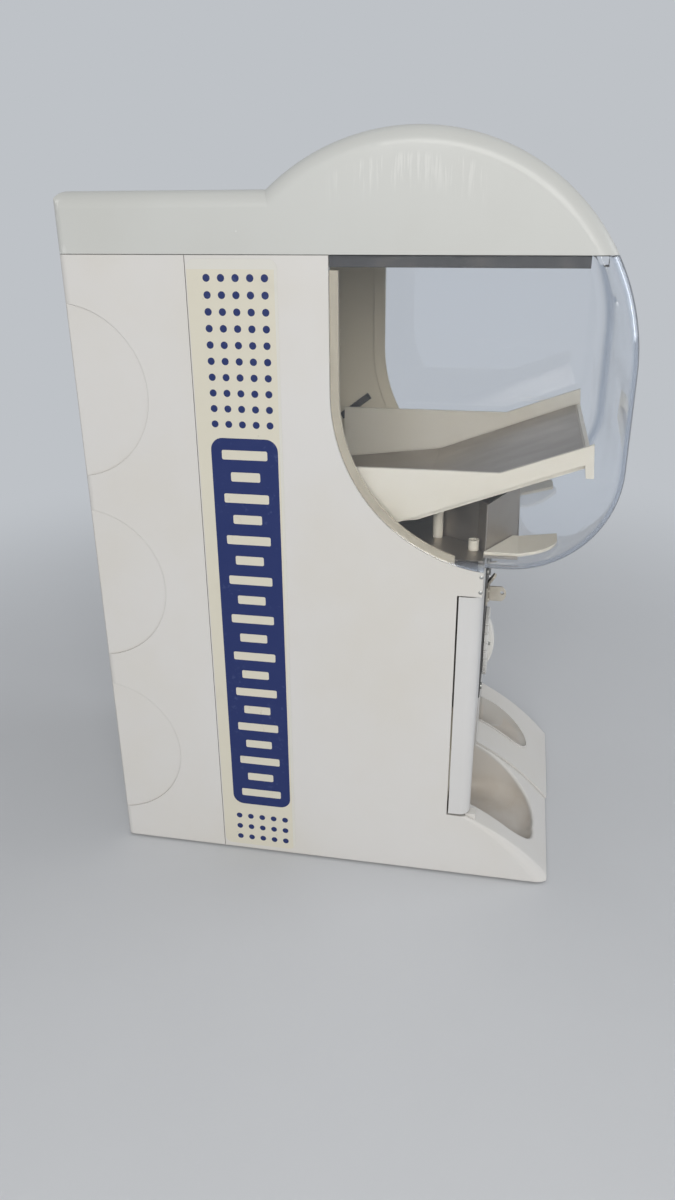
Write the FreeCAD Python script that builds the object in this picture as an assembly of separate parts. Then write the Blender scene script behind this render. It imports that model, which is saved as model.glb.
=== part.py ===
# Capsule-toy vending machine: casing, lid, window, door, coin mechanism and capsule rotor.
# Millimetres. The origin is on the floor under the middle of the box, +Z is up, the front faces -Y
# and +X is the customer's right.

import FreeCAD
import Part

import math
import os

V = FreeCAD.Vector
X_AXIS = V(1, 0, 0)
Y_AXIS = V(0, 1, 0)
Z_AXIS = V(0, 0, 1)

# Casing
half_width = 115.0
back_y = 197.0
wall = 3.0
casing_bottom = 2.0
casing_top = 491.4
shell_seam_y = 105.5
seam_gap = 0.4
shell_depth_front = -105.5
inner_half = half_width - wall
rear_corner_r = 6.0
recess_r = 62.8
recess_centre_y = 202.6
recess_heights = (94.0, 245.5, 397.0)
recess_depth = 1.2
plate_top = 4.0
bolt_r = 4.5
bolt_spots = [(x, y) for x in (-70.0, 70.0) for y in (-50.0, 130.0)]
base_screw_spots = [(x, y) for x in (-104.0, 104.0) for y in (-70.0, 180.0)]
foot_r = 10.0
foot_spots = [(x, y) for x in (-92.0, 92.0) for y in (-140.0, 165.0)]
sticker_thick = 0.2
sticker_front = 41.5
sticker_rear = 104.5
sticker_low = 6.0
sticker_high = 489.0

# Lid
lid_bottom = 491.8
shoulder_top = 531.0
dome_centre_y = -47.5
dome_centre_z = 417.5
dome_r = 149.5
lid_edge_r = 11.0
lid_rear_r = 9.0
seal_half = 109.6
seal_low = 484.0
seal_high = 498.0
lid_lock_y = 160.0
lid_lock_low = 509.0
lid_cam_low = 502.6

# Window
window_rear_y = 6.8
window_rear_arc_y = -119.3
window_rear_arc_z = 401.3
window_rear_arc_r = 126.1
nose_arc_y = -121.0
nose_arc_z = 352.0
cover_wall = 2.5
cover_edge_r = 13.0
cover_gap = 0.4
window_lip = 6.0

# Rail, door and toe
rail_bottom = 256.8
rail_top = 276.0
rail_depth = 15.0
door_bottom = 62.0
door_top = 256.0
door_flange = 17.0
door_wall = 2.6
door_corner_r = 9.0
door_hinge_x = -111.0
door_hinge_y = -100.0
recess_edge_y = -87.2
toe_ledge = 60.5
toe_front_y = -172.5
toe_edge_r_top = 2.0
toe_edge_r_front = 10.0
bowl_floor = 9.0
bowl_round = 14.0
bowl_rim_r = 2.0
cup_floor = 26.0
cup_round = 7.0
cup_wall = 2.0
cup_rim = 1.6
overlay_lift = 2.0
bowl_left = -93.0
cup_left = 39.7
cup_right = 82.0
outlet_right = -8.0
outlet_top = 127.0
cup_outlet_top = 84.0
rail_screw_y = -104.0
rail_screw_heights = (260.5, 272.5)
lock_x = 92.0
lock_z = 190.0
lock_r = 9.0
plug_r = 5.5
cam_y = -83.0
cam_thick = 2.0
cam_half = 5.0
cam_reach = 14.0
cam_tip_r = 3.0
strike_half = 12.0
strike_sheet = 2.0
strike_tab_x = 104.5
strike_front = -86.5
pin_r = 2.0

# Coin mechanism
dial_z = 166.0
dial_r = 30.0
rim_front = -110.5
grip_front = -115.5
grip_half = 4.5
grip_reach = 17.0
grip_span = 27.0
notches_round = 24
shaft_r = 5.0
shaft_front = -112.0
shaft_rear = 81.0
bush_r = 8.0
running = 0.05
plate_front = -106.5
plate_back = -103.0
plate_half = 44.0
plate_bottom = 132.0
frame_back = -60.0
frame_half = 42.0
sheet = 2.0
coin_slot_x = 27.5
coin_slot_width = 3.4
mech_screw_x = 36.0
mech_screw_heights = (140.0, 246.0)
tab_screw_z = 265.0
frame_low = 134.0
frame_high = 250.0
lug_x = -26.0
lug_hole_y = -119.4
lug_hole_z = 223.9
lever_pivot = (-100.0, 207.0)
lever_tip = (-113.0, 226.2)
ratchet_teeth = 12
ratchet_tip = 18.0
ratchet_root = 15.0
pawl_x = -22.0
pawl_z = 190.0
pawl_y = -80.0
pawl_thick = 4.0

# Rotor and drive
rotor_y = 97.0
rotor_r = 90.0
rotor_low = 255.0
rotor_high = 293.0
rotor_shaft_low = 129.0
rotor_shaft_high = 292.0
pocket_r = 34.0
pocket_ring = 52.0
pockets = 3
drop_r = 37.0
deck_top = 297.0
pinion_teeth = 12
gear_teeth = 36
gear_module = 1.5
pinion_pitch = gear_module * pinion_teeth / 2
gear_pitch = gear_module * gear_teeth / 2
cone_length = math.hypot(pinion_pitch, gear_pitch)
tooth_face = 8.0
tip_angle = gear_module / cone_length
root_angle = 1.25 * gear_module / cone_length
flank_slope = math.tan(math.radians(20))
tooth_share = 0.4
tub_inner = rotor_r + 2
tub_outer = tub_inner + 2.5
tub_floor = 250.0
bracket_left = -11.5
bracket_right = 45.0
shelf_z = 132.0

# Capsule chute and slope
chute_left = -98.0
chute_right = -12.0
chute_front_y = -86.0
chute_front_z = 58.0
chute_rear_y = 142.0
chute_rear_z = 214.0
slope_half = 98.0
slope_plate = 3.0
slope_front = (-174.0, 357.0)
slope_bend = (-54.0, 311.5)
slope_knee = (26.0, 301.5)
slope_rear = (50.0, 300.8)
liner_front_y = -171.0
liner_thick = 0.8
tray_low = 280.5
tray_top = 283.0
tray_front = -129.0
apron_inner = 55.0
apron_tip = 62.0
apron_outer = 95.0
apron_front = -157.0
apron_round = 20.0
apron_thick = 2.5
apron_rise = 5.9
board_sheet = 1.6
board_bends = ((47.0, -127.0), (90.0, -105.0), (74.0, -99.0), (50.0, -62.0))
strip_y = 28.0
strip_z = 346.0
strip_lean = -37.0
chute_sheet = 3.0
chute_wall_high = 42.0
chute_top = 248.0

os.makedirs("parts", exist_ok=True)


def box(x0, x1, y0, y1, z0, z1):
    return Part.makeBox(x1 - x0, y1 - y0, z1 - z0, V(x0, y0, z0))


def cyl(radius, start, along, length):
    return Part.makeCylinder(radius, length, V(*start), along)


def ring(outer, inner, start, along, length):
    return cyl(outer, start, along, length).cut(cyl(inner, start, along, length))


def both_sides(shape):
    return [shape, shape.mirror(V(0, 0, 0), X_AXIS)]


def yz(y, z, x=0.0):
    return V(x, y, z)


def xy(x, y, z=0.0):
    return V(x, y, z)


def xz(x, z, y=0.0):
    return V(x, y, z)


def outline(plane, level, start, *steps):
    # Each step is an end point, or a pair (point on the way, end point) for an arc.
    edges = []
    here = start
    for step in steps:
        if isinstance(step[0], tuple):
            way, end = step
            edges.append(Part.Arc(plane(*here, level), plane(*way, level), plane(*end, level)).toShape())
        else:
            end = step
            edges.append(Part.LineSegment(plane(*here, level), plane(*end, level)).toShape())
        here = end
    if here != start:
        edges.append(Part.LineSegment(plane(*here, level), plane(*start, level)).toShape())
    return Part.Wire(edges)


def prism(wire, along, length):
    return Part.Face(wire).extrude(along * length)


def across(start, *steps, half=half_width):
    return prism(outline(yz, -half, start, *steps), X_AXIS, 2 * half)


def round_edges(shape, radius, chosen):
    return shape.makeFillet(radius, [edge for edge in shape.Edges if chosen(edge)])


def on_circle(centre_y, centre_z, radius, degrees):
    turn = math.radians(degrees)
    return (centre_y + radius * math.cos(turn), centre_z + radius * math.sin(turn))


def save(name, shape):
    if isinstance(shape, list):
        shape = Part.makeCompound(shape)
    shape.exportStep(f"parts/{name}.step")


def is_side_arc(edge, half):
    return isinstance(edge.Curve, Part.Circle) and abs(abs(edge.CenterOfMass.x) - half) < 0.01


# Casing: rear shell
def rear_shell():
    front = shell_seam_y + seam_gap / 2
    outer = box(-half_width, half_width, front, back_y, casing_bottom, casing_top)
    outer = round_edges(outer, rear_corner_r, lambda e: e.Length > 480 and e.CenterOfMass.y > back_y - 1)
    shell = outer.cut(box(-inner_half, inner_half, front - 1, back_y - wall, 0, casing_top + 1))
    for height in recess_heights:
        disc = cyl(recess_r, (half_width - recess_depth, recess_centre_y, height), X_AXIS, 5)
        shell = shell.cut(Part.makeCompound(both_sides(disc)))
    lap = box(inner_half - 2.2, inner_half, front, front + 12, 6, 480)
    lap = lap.fuse(box(inner_half - 2.2, inner_half - 0.2, front - 8, front, 6, 480))
    ledge = box(inner_half - 8, inner_half, 118, 188, deck_top - 7.2, deck_top - 3.2)
    boss = box(99, inner_half, 175, 185, 4.2, 20).cut(cyl(1.7, (104, 180, 4), Z_AXIS, 12))
    inside = []
    for piece in (lap, ledge, boss):
        inside += both_sides(piece)
    return shell.fuse(inside).removeSplitter()


# The window's outline in side view, grown outward by a margin, open at the top
def window_outline(grow):
    rear = window_rear_y + grow
    rear_low = (rear, window_rear_arc_z)
    arc_r = window_rear_arc_r + grow
    low_front = -105.5
    dip = low_front - window_rear_arc_y
    low = (low_front, window_rear_arc_z - math.sqrt(arc_r ** 2 - dip ** 2))
    way = on_circle(window_rear_arc_y, window_rear_arc_z, arc_r, -42)
    return outline(yz, -half_width, (rear, 520), rear_low, (way, low), (-240, low[1]), (-240, 520))


# The curved line of the toe, moved outward by a lift
def toe_line(lift):
    top = (-103.0 - 0.45 * lift, toe_ledge - 0.6 + 0.9 * lift)
    way = (-142.0 - 0.7 * lift, 35.0 + 0.7 * lift)
    end = (toe_front_y - 0.75 * lift, 5.0 + 0.65 * lift)
    return top, way, end


def lies_on_toe(edge):
    top, way, end = toe_line(0)
    circle = Part.Arc(yz(*top), yz(*way), yz(*end)).toShape().Curve
    span = edge.LastParameter - edge.FirstParameter
    spots = [edge.valueAt(edge.FirstParameter + share * span) for share in (0.1, 0.5, 0.9)]
    return all(abs(math.hypot(spot.y - circle.Center.y, spot.z - circle.Center.z) - circle.Radius) < 0.02
               for spot in spots)


def scoop(left, right, tip_x, tip_y, bend_y):
    # A leaning D in plan: straight on its left, a long sweep on its right, open to the rear.
    corner = (left + 0.24 * (tip_x - left), tip_y + 0.28 * (bend_y - tip_y))
    sweep = (right - 0.3 * (right - tip_x), tip_y + 0.22 * (-107 - tip_y))
    return outline(xy, 0, (left, -84), (left, bend_y), (corner, (tip_x, tip_y)),
                   (sweep, (right, -107)), (right, -84))


bowl_wire = scoop(bowl_left, -1.5, -62.0, -160.0, -136.0)
cup_wire = scoop(cup_left, cup_right, 56.0, -154.0, -136.0)


def scoop_solid(wire, floor, rounding, grow=0.0):
    if grow:
        wire = wire.makeOffset2D(grow)
    solid = prism(wire, Z_AXIS, 90)
    solid.translate(V(0, 0, floor - grow))
    low = floor - grow
    return round_edges(solid, rounding + grow, lambda e: e.BoundBox.ZMax < low + 0.01
                       and e.CenterOfMass.y < -90)


# Casing: front shell, with the rail over the door and the toe tray under it
def front_shell():
    rear = shell_seam_y - seam_gap / 2
    top, way, end = toe_line(0)
    block = across((rear, casing_bottom), (rear, casing_top), (shell_depth_front, casing_top),
                   (shell_depth_front, rail_bottom), (recess_edge_y, rail_bottom),
                   (recess_edge_y, toe_ledge), top, (way, end), (toe_front_y, casing_bottom))
    arcs = [edge for edge in block.Edges if is_side_arc(edge, half_width)]
    block = block.makeFillet(toe_edge_r_top, toe_edge_r_front, arcs)
    block = block.cut(scoop_solid(bowl_wire, bowl_floor, bowl_round))
    block = round_edges(block, bowl_rim_r, lambda e: lies_on_toe(e) and bowl_left - 1 < e.CenterOfMass.x < -1
                        and e.CenterOfMass.y < top[0] - 0.5 and e.CenterOfMass.z > end[1] + 1)
    block.fix(0.001, 0.001, 0.001)
    window = prism(window_outline(0), X_AXIS, 2 * half_width)
    shell = block.cut(window)
    room = box(-inner_half, inner_half, shell_depth_front - 1, rear + 1, toe_ledge, rail_bottom)
    room = room.fuse([
        box(-inner_half, inner_half, -200, rear + 1, rail_top, 500),
        box(-inner_half, inner_half, shell_depth_front + rail_depth, rear + 1, rail_bottom - 1, rail_top + 1),
        box(-inner_half, inner_half, shell_depth_front + wall, rear, rail_bottom + wall, rail_top - wall),
        box(-95, 95, shell_depth_front + wall, rear, rail_bottom - 1, rail_bottom + wall + 1),
        box(-inner_half, inner_half, recess_edge_y, rear + 1, 0, toe_ledge + 1),
    ])
    shell = shell.cut(room)
    in_top, in_way, in_end = toe_line(-wall)
    hollow = across((recess_edge_y - 1, 0), (recess_edge_y - 1, in_top[1]), in_top, (in_way, in_end),
                    (in_end[0], 0), half=inner_half)
    hollow = hollow.cut(scoop_solid(bowl_wire, bowl_floor, bowl_round, 2.5))
    shell = shell.cut([hollow, box(-inner_half, inner_half, recess_edge_y - 2, 0, 0, casing_bottom + 2.3)])
    shell = shell.cut(scoop_solid(cup_wire, cup_floor, cup_round, cup_wall + 0.6))
    lip = prism(window_outline(4), X_AXIS, wall - 0.5).cut(prism(window_outline(-window_lip), X_AXIS, 10))
    lip.translate(V(half_width + inner_half - wall + 0.5, 0, 0))
    lip = lip.common(box(100, inner_half, -84, 20, rail_top, 482))
    boss = box(99, inner_half, -75, -65, 4.2, 20).cut(cyl(1.7, (104, -70, 4), Z_AXIS, 12))
    lug = box(-112, -104, -110.5, -102, 55.5, 61.5)
    shell = shell.fuse(both_sides(lip) + both_sides(boss) + [lug])
    pin_hole = cyl(pin_r + running, (door_hinge_x, door_hinge_y, 50), Z_AXIS, 215)
    shell = shell.cut(pin_hole)
    for z in rail_screw_heights:
        shell = shell.cut(cyl(1.05, (-half_width - 1, rail_screw_y, z), X_AXIS, 2 * half_width + 2))
    return shell.removeSplitter()


def base_plate():
    plate = box(-inner_half + 0.3, inner_half - 0.3, -163, back_y - wall - 0.3, casing_bottom, plate_top)
    holes = [cyl(bolt_r, (x, y, 0), Z_AXIS, 8) for x, y in bolt_spots]
    holes += [cyl(2.0, (x, y, 0), Z_AXIS, 8) for x, y in base_screw_spots]
    return plate.cut(holes)


def base_screws():
    screws = []
    for x, y in base_screw_spots:
        screws.append(cyl(3.5, (x, y, 0.5), Z_AXIS, 1.5).fuse(cyl(1.6, (x, y, 1.5), Z_AXIS, 11)))
    return screws


def rubber_feet():
    return [cyl(foot_r, (x, y, 0), Z_AXIS, casing_bottom) for x, y in foot_spots]


# Lid: a flat shoulder with a round dome rising out of it
def lid_form(inset):
    half = half_width - inset
    edge_r = lid_edge_r - inset
    radius = dome_r - inset
    low = lid_bottom if inset == 0 else lid_bottom - 1
    foot_y = dome_centre_y + math.sqrt(radius ** 2 - (shoulder_top - 20 - dome_centre_z) ** 2)
    nose_y = dome_centre_y - math.sqrt(radius ** 2 - (low - dome_centre_z) ** 2)
    crown = (dome_centre_y, dome_centre_z + radius)
    dome = across((nose_y, low), (crown, (foot_y, shoulder_top - 20)), (foot_y, low), half=half)
    dome = round_edges(dome, edge_r, lambda e: is_side_arc(e, half))
    rear = back_y - inset
    top = shoulder_top - inset
    turn = lid_rear_r - inset
    diagonal = turn * (1 - math.sqrt(0.5))
    side = across((0, low), (rear, low), (rear, top - turn),
                  ((rear - diagonal, top - diagonal), (rear - turn, top)), (0, top), half=half)
    slab = box(-half, half, -10, rear + 1, low - 5, top)
    slab = round_edges(slab, edge_r, lambda e: e.Length > 100 and e.CenterOfMass.z > top - 1
                       and abs(e.CenterOfMass.x) > 1)
    plan = box(-half, half, -10, rear, low - 5, top + 5)
    plan = round_edges(plan, rear_corner_r - 0.9 * inset, lambda e: e.CenterOfMass.y > rear - 1
                       and abs(e.CenterOfMass.x) > half - 1 and abs(e.CenterOfMass.z - (low + top) / 2) < 1)
    return dome.fuse(side.common(slab).common(plan))


def top_cap():
    cap = lid_form(0).cut(lid_form(wall))
    cap = cap.cut(cyl(lock_r + running, (0, lid_lock_y, 480), Z_AXIS, 100))
    return cap.removeSplitter()


def lid_seal():
    side = box(seal_half, seal_half + 2, -160, 190, seal_low, lid_bottom)
    side = side.fuse(box(seal_half, inner_half, -140, 190, lid_bottom, seal_high))
    rear = box(20, 105, 191.4, 193.4, seal_low, lid_bottom)
    rear = rear.fuse(box(20, 105, 191.4, back_y - wall, lid_bottom, seal_high))
    front = box(-98, 98, -172.2, -169.2, seal_low, 494)
    return both_sides(side.removeSplitter()) + both_sides(rear.removeSplitter()) + [front]


def lid_lock():
    body = cyl(lock_r, (0, lid_lock_y, lid_lock_low), Z_AXIS, shoulder_top - lid_lock_low)
    return body.cut(cyl(plug_r + running, (0, lid_lock_y, 500), Z_AXIS, 40))


def lid_lock_cam():
    plug = cyl(plug_r, (0, lid_lock_y, lid_cam_low), Z_AXIS, shoulder_top - 0.6 - lid_cam_low)
    plug = plug.cut(box(-0.5, 0.5, lid_lock_y - 3.5, lid_lock_y + 3.5, shoulder_top - 3, shoulder_top))
    arm = box(0, 22, lid_lock_y - 6, lid_lock_y + 6, lid_cam_low, lid_cam_low + 2.4)
    arm = arm.fuse(cyl(6, (22, lid_lock_y, lid_cam_low), Z_AXIS, 2.4))
    return plug.fuse(arm).removeSplitter()


def lid_keeper():
    upright = box(-12, 12, back_y - wall - 2.5, back_y - wall, 455, 509.5)
    tab = box(-12, 12, 179, back_y - wall, 507, 509.5)
    return upright.fuse(tab).removeSplitter()


# Window: the clear cover, flat and flush at both sides and round at the front
def cover_line(inset):
    radius = dome_r - inset
    nose_r = nose_arc_y - (dome_centre_y - dome_r) - inset
    front_y = dome_centre_y - radius
    top_z = casing_top - 0.1
    start_y = dome_centre_y - math.sqrt(radius ** 2 - (top_z - dome_centre_z) ** 2)
    brow = on_circle(dome_centre_y, dome_centre_z, radius, 166)
    nose = on_circle(nose_arc_y, nose_arc_z, nose_r, 228)
    low = nose_arc_z - nose_r
    return start_y, top_z, front_y, brow, nose, low


def cover_form(inset, half, rear_y):
    start_y, top_z, front_y, brow, nose, low = cover_line(inset)
    form = across((rear_y, top_z), (start_y, top_z), (brow, (front_y, dome_centre_z)),
                  (front_y, nose_arc_z), (nose, (nose_arc_y, low)), (rear_y, low), half=half)
    chain = [e for e in form.Edges if abs(abs(e.CenterOfMass.x) - half) < 0.01
             and e.CenterOfMass.y < nose_arc_y - 5 and e.BoundBox.ZMax < top_z + 0.01
             and e.BoundBox.ZLength > 1]
    return form.makeFillet(cover_edge_r - inset, chain)


def window_cover():
    front_part = cover_form(0, half_width, shell_depth_front - 0.2)
    front_part = front_part.cut(cover_form(cover_wall, half_width - cover_wall, shell_depth_front + 10))
    top_z = cover_line(0)[1]
    front_part = front_part.cut(box(-half_width + cover_wall, half_width - cover_wall, -170,
                                    shell_depth_front + 1, top_z - 5, top_z + 5))
    pane = prism(window_outline(-cover_gap), X_AXIS, cover_wall)
    pane = pane.common(box(-200, 200, shell_depth_front - 0.2, 50, 260, top_z))
    other = pane.copy()
    other.translate(V(2 * half_width - cover_wall, 0, 0))
    return front_part.fuse([pane, other]).removeSplitter()


def cover_clips():
    clip = box(109.5, inner_half, -101, -86, rail_top, 283)
    return both_sides(clip)


# Stickers: thin cream strips on both sides, just in front of the shell seam
def sticker(sign):
    x = half_width if sign > 0 else -half_width - sticker_thick
    strip = box(x, x + sticker_thick, sticker_front, sticker_rear, sticker_low, sticker_high)
    return round_edges(strip, 6, lambda e: e.Length < 2 * sticker_thick)


def rail_screws():
    screws = []
    for side in (-1, 1):
        for z in rail_screw_heights:
            x = side * (half_width - 6)
            shank = cyl(1.0, (x, rail_screw_y, z), X_AXIS * side, 6)
            head = Part.makeSphere(2.4, V(side * (half_width - 1.9), rail_screw_y, z))
            head = head.common(box(-half_width - 0.5, half_width + 0.5, -110, -100, z - 3, z + 3))
            head = head.cut(box(-half_width, half_width, -110, -100, z - 3, z + 3))
            screws.append(shank.fuse(head))
    return screws


# Door: a shallow pan with a notch for the mechanism, the capsule outlet and the coin outlet
def front_door():
    front = shell_depth_front
    back = front + door_flange
    pan = box(-half_width, half_width, front, back, door_bottom, door_top)
    pan = round_edges(pan, door_corner_r, lambda e: e.BoundBox.ZLength > 150 and e.CenterOfMass.y < front + 1)
    side = half_width - door_wall
    inside = box(-side, side, front + door_wall, back + 1, door_bottom + door_wall, door_top - door_wall)
    inside = round_edges(inside, door_corner_r - door_wall, lambda e: e.BoundBox.ZLength > 150
                         and e.CenterOfMass.y < front + door_wall + 1)
    door = pan.cut(inside)
    blocks = [box(-side - 1, -103, -103.5, -95, z, z + 8) for z in (door_bottom + 1, door_top - 9)]
    door = door.fuse([block.common(pan) for block in blocks])
    outlet = box(bowl_left, outlet_right, front - 1, back + 1, door_bottom - 1, outlet_top)
    outlet = round_edges(outlet, 8, lambda e: abs(e.CenterOfMass.z - outlet_top) < 0.1 and e.Length < 30)
    door = door.cut([
        box(-plate_half - 2, plate_half + 2, front - 1, back + 1, plate_bottom - 2, door_top + 1),
        outlet,
        box(cup_left, cup_right, front - 1, back + 1, door_bottom - 1, cup_outlet_top),
        cyl(lock_r + running, (lock_x, front - 1, lock_z), Y_AXIS, 10),
        cyl(pin_r + running, (door_hinge_x, door_hinge_y, 60), Z_AXIS, 13),
        cyl(pin_r + running, (door_hinge_x, door_hinge_y, 246), Z_AXIS, 13),
    ])
    return door.removeSplitter()


def door_hinge_pins():
    return [cyl(pin_r, (door_hinge_x, door_hinge_y, low), Z_AXIS, 13) for low in (57.6, 247.4)]


def door_lock():
    head = cyl(11, (lock_x, shell_depth_front - 2, lock_z), Y_AXIS, 2)
    body = cyl(lock_r, (lock_x, shell_depth_front, lock_z), Y_AXIS, 19.5)
    nut = ring(12, lock_r, (lock_x, shell_depth_front + door_wall, lock_z), Y_AXIS, 4)
    lock = head.fuse([body, nut])
    return lock.cut(cyl(plug_r + running, (lock_x, -120, lock_z), Y_AXIS, 60)).removeSplitter()


def door_lock_cam():
    plug_front = shell_depth_front - 1.6
    plug = cyl(plug_r, (lock_x, plug_front, lock_z), Y_AXIS, cam_y + cam_thick - plug_front)
    plug = plug.cut(box(lock_x - 0.5, lock_x + 0.5, -110, -104, lock_z - 3.5, lock_z + 3.5))
    arm = box(lock_x - cam_half, lock_x + cam_half, cam_y, cam_y + cam_thick, lock_z, lock_z + cam_reach)
    arm = arm.fuse(cyl(cam_tip_r, (lock_x, cam_y, lock_z + cam_reach), Y_AXIS, cam_thick))
    return plug.fuse(arm).removeSplitter()


def door_strike():
    low = lock_z - strike_half
    high = lock_z + strike_half
    base = box(inner_half - strike_sheet, inner_half, strike_front, -64, low, high)
    tab = box(strike_tab_x, inner_half, strike_front, strike_front + strike_sheet, low, high)
    return base.fuse(tab).removeSplitter()


def coin_box():
    tub = box(8, 100, -92, -45, 68, 124).cut(box(10, 98, -90, -47, 70, 130))
    straps = [box(x, x + 9, -102.9, -92, 98, 120) for x in (13, 90)]
    return tub.fuse(straps).removeSplitter()


def return_chute():
    inner_y = shell_depth_front + door_wall
    outer = outline(xz, inner_y, (24, 127), (36, 66), (86, 66), (86, 127))
    inner = outline(xz, inner_y, (26, 127), (38, 66), (84, 66), (84, 127))
    back = inner_y + 8.5
    shell = prism(outer, Y_AXIS, 8.5).cut(prism(inner, Y_AXIS, 7))
    return shell.common(box(0, 100, inner_y, back, 60, 130))


# Coin mechanism
def mech_plate():
    plate = box(-plate_half, plate_half, plate_front, plate_back, plate_bottom, rail_bottom - 0.8)
    plate = round_edges(plate, 1.2, lambda e: e.CenterOfMass.y < plate_front + 0.1)
    ears = [box(x, x + 2.5, plate_back, -96, 202, 212) for x in (0.5, 15.5)]
    plate = plate.fuse(ears)
    slot = box(coin_slot_x - coin_slot_width / 2, coin_slot_x + coin_slot_width / 2, -120, -100, 204, 232)
    plate = plate.cut([
        cyl(bush_r + running, (0, -120, dial_z), Y_AXIS, 30),
        slot,
        box(3, 13.6, -120, -100, 206, 222),
        cyl(1.5 + running, (-10, -100, 207), X_AXIS, 40),
    ])
    for x in (-mech_screw_x, mech_screw_x):
        for z in mech_screw_heights:
            plate = plate.cut(cyl(1.6, (x, -120, z), Y_AXIS, 30))
    return plate.removeSplitter()


def mech_frame():
    front = plate_back
    cheeks = [box(x, x + sheet, front, frame_back, frame_low, frame_high)
              for x in (-frame_half, frame_half - sheet)]
    back = box(-frame_half, frame_half, frame_back - sheet, frame_back, frame_low, frame_high)
    tab = box(-frame_half, frame_half, shell_depth_front + wall + 0.1, -100, 238, 272)
    flanges = [box(x, x + 10, front, front + sheet, frame_low, frame_low + 16)
               for x in (-frame_half, frame_half - 10)]
    frame = cheeks[0].fuse([cheeks[1], back, tab] + flanges)
    frame = frame.cut([
        cyl(bush_r + running, (0, frame_back - 10, dial_z), Y_AXIS, 20),
        cyl(pin_r + running, (pawl_x, frame_back - 10, pawl_z), Y_AXIS, 20),
    ])
    for x in (-mech_screw_x, mech_screw_x):
        for z in mech_screw_heights + (tab_screw_z,):
            frame = frame.cut(cyl(1.6, (x, -120, z), Y_AXIS, 22))
    return frame.removeSplitter()


def mech_screws():
    screws = []
    for x in (-mech_screw_x, mech_screw_x):
        for z in mech_screw_heights:
            head = cyl(3, (x, plate_front - 1.2, z), Y_AXIS, 1.2)
            screws.append(head.fuse(cyl(1.5, (x, plate_front - 0.2, z), Y_AXIS, 8)))
        head = cyl(3, (x, -100, tab_screw_z), Y_AXIS, 1.6)
        screws.append(head.fuse(cyl(1.5, (x, -102.2, tab_screw_z), Y_AXIS, 3)))
    return screws


def seal_lug():
    tip_r = 3.6
    tip_y = lug_hole_y + 0.2
    foot = plate_front - 1.6
    blade = outline(yz, lug_x - 1, (foot, 216.4), (tip_y, 216.4), ((tip_y - tip_r, 222.7), (tip_y, 229)),
                    (foot, 229))
    lug = prism(blade, X_AXIS, 2).cut(cyl(1.6, (lug_x - 5, lug_hole_y, lug_hole_z), X_AXIS, 10))
    base = box(lug_x - 9, lug_x + 1, foot, plate_front, 215, 230.4)
    rivets = [cyl(2, (lug_x - 5, foot - 1, z), Y_AXIS, 1.2) for z in (219, 226.5)]
    return lug.fuse([base] + rivets).removeSplitter()


def dial():
    rear = plate_front - 0.6
    disc = cyl(dial_r, (0, rim_front, dial_z), Y_AXIS, rear - rim_front)
    disc = round_edges(disc, 1.2, lambda e: isinstance(e.Curve, Part.Circle)
                       and e.CenterOfMass.y < rim_front + 1)
    dish = Part.makeSphere(90, V(0, rim_front - 88.2, dial_z))
    disc = disc.cut(dish.common(cyl(26, (0, -130, dial_z), Y_AXIS, 40)))
    low = dial_z - grip_reach
    high = dial_z + grip_reach
    grip = outline(xz, grip_front, (-grip_half, low), ((0, low - grip_half), (grip_half, low)),
                   (grip_half, high), ((0, high + grip_half), (-grip_half, high)))
    lens = outline(yz, -dial_r, (rear, dial_z - grip_span),
                   ((grip_front, dial_z), (rear, dial_z + grip_span)))
    bar = prism(grip, Y_AXIS, rear - grip_front).common(prism(lens, X_AXIS, 2 * dial_r))
    bar = round_edges(bar, 1.5, lambda e: is_side_arc(e, grip_half) and e.CenterOfMass.y < rim_front)
    knob = disc.fuse(bar)
    notches = []
    for index in range(notches_round):
        turn = 2 * math.pi * (index + 0.5) / notches_round
        place = (dial_r * 1.012 * math.cos(turn), shaft_front, dial_z + dial_r * 1.012 * math.sin(turn))
        notches.append(cyl(1.1, place, Y_AXIS, 6))
    knob = knob.cut(notches)
    return knob.cut(cyl(shaft_r, (0, shaft_front, dial_z), Y_AXIS, 10)).removeSplitter()


def dial_shaft():
    return cyl(shaft_r, (0, shaft_front, dial_z), Y_AXIS, shaft_rear - shaft_front)


def shaft_bushes():
    spans = ((plate_front, 9.5), (frame_back - 5, 8), (46.5, 9))
    return [ring(bush_r, shaft_r + running, (0, low, dial_z), Y_AXIS, length) for low, length in spans]


def coin_wheel():
    disc = cyl(31, (0, -95, dial_z), Y_AXIS, 4)
    for side in (-1, 1):
        disc = disc.cut(cyl(13.4, (side * 27, -96, dial_z), Y_AXIS, 3.2))
    hub = cyl(10, (0, -91, dial_z), Y_AXIS, 5)
    return disc.fuse(hub).cut(cyl(shaft_r, (0, -100, dial_z), Y_AXIS, 20)).removeSplitter()


def coin_guide():
    track = box(22.5, 33.5, plate_back, -88, 200, 236)
    return track.cut(box(25.4, 29.6, plate_back - 1, -90, 198, 234))


def ratchet_wheel():
    step = 2 * math.pi / ratchet_teeth
    corners = []
    for index in range(ratchet_teeth):
        turn = index * step
        for radius, angle in ((ratchet_tip, turn), (ratchet_root, turn + 0.12 * step)):
            corners.append(V(radius * math.cos(angle), pawl_y, dial_z + radius * math.sin(angle)))
    wheel = Part.Face(Part.makePolygon(corners + corners[:1])).extrude(Y_AXIS * pawl_thick)
    return wheel.cut(cyl(shaft_r, (0, -100, dial_z), Y_AXIS, 40))


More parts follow.
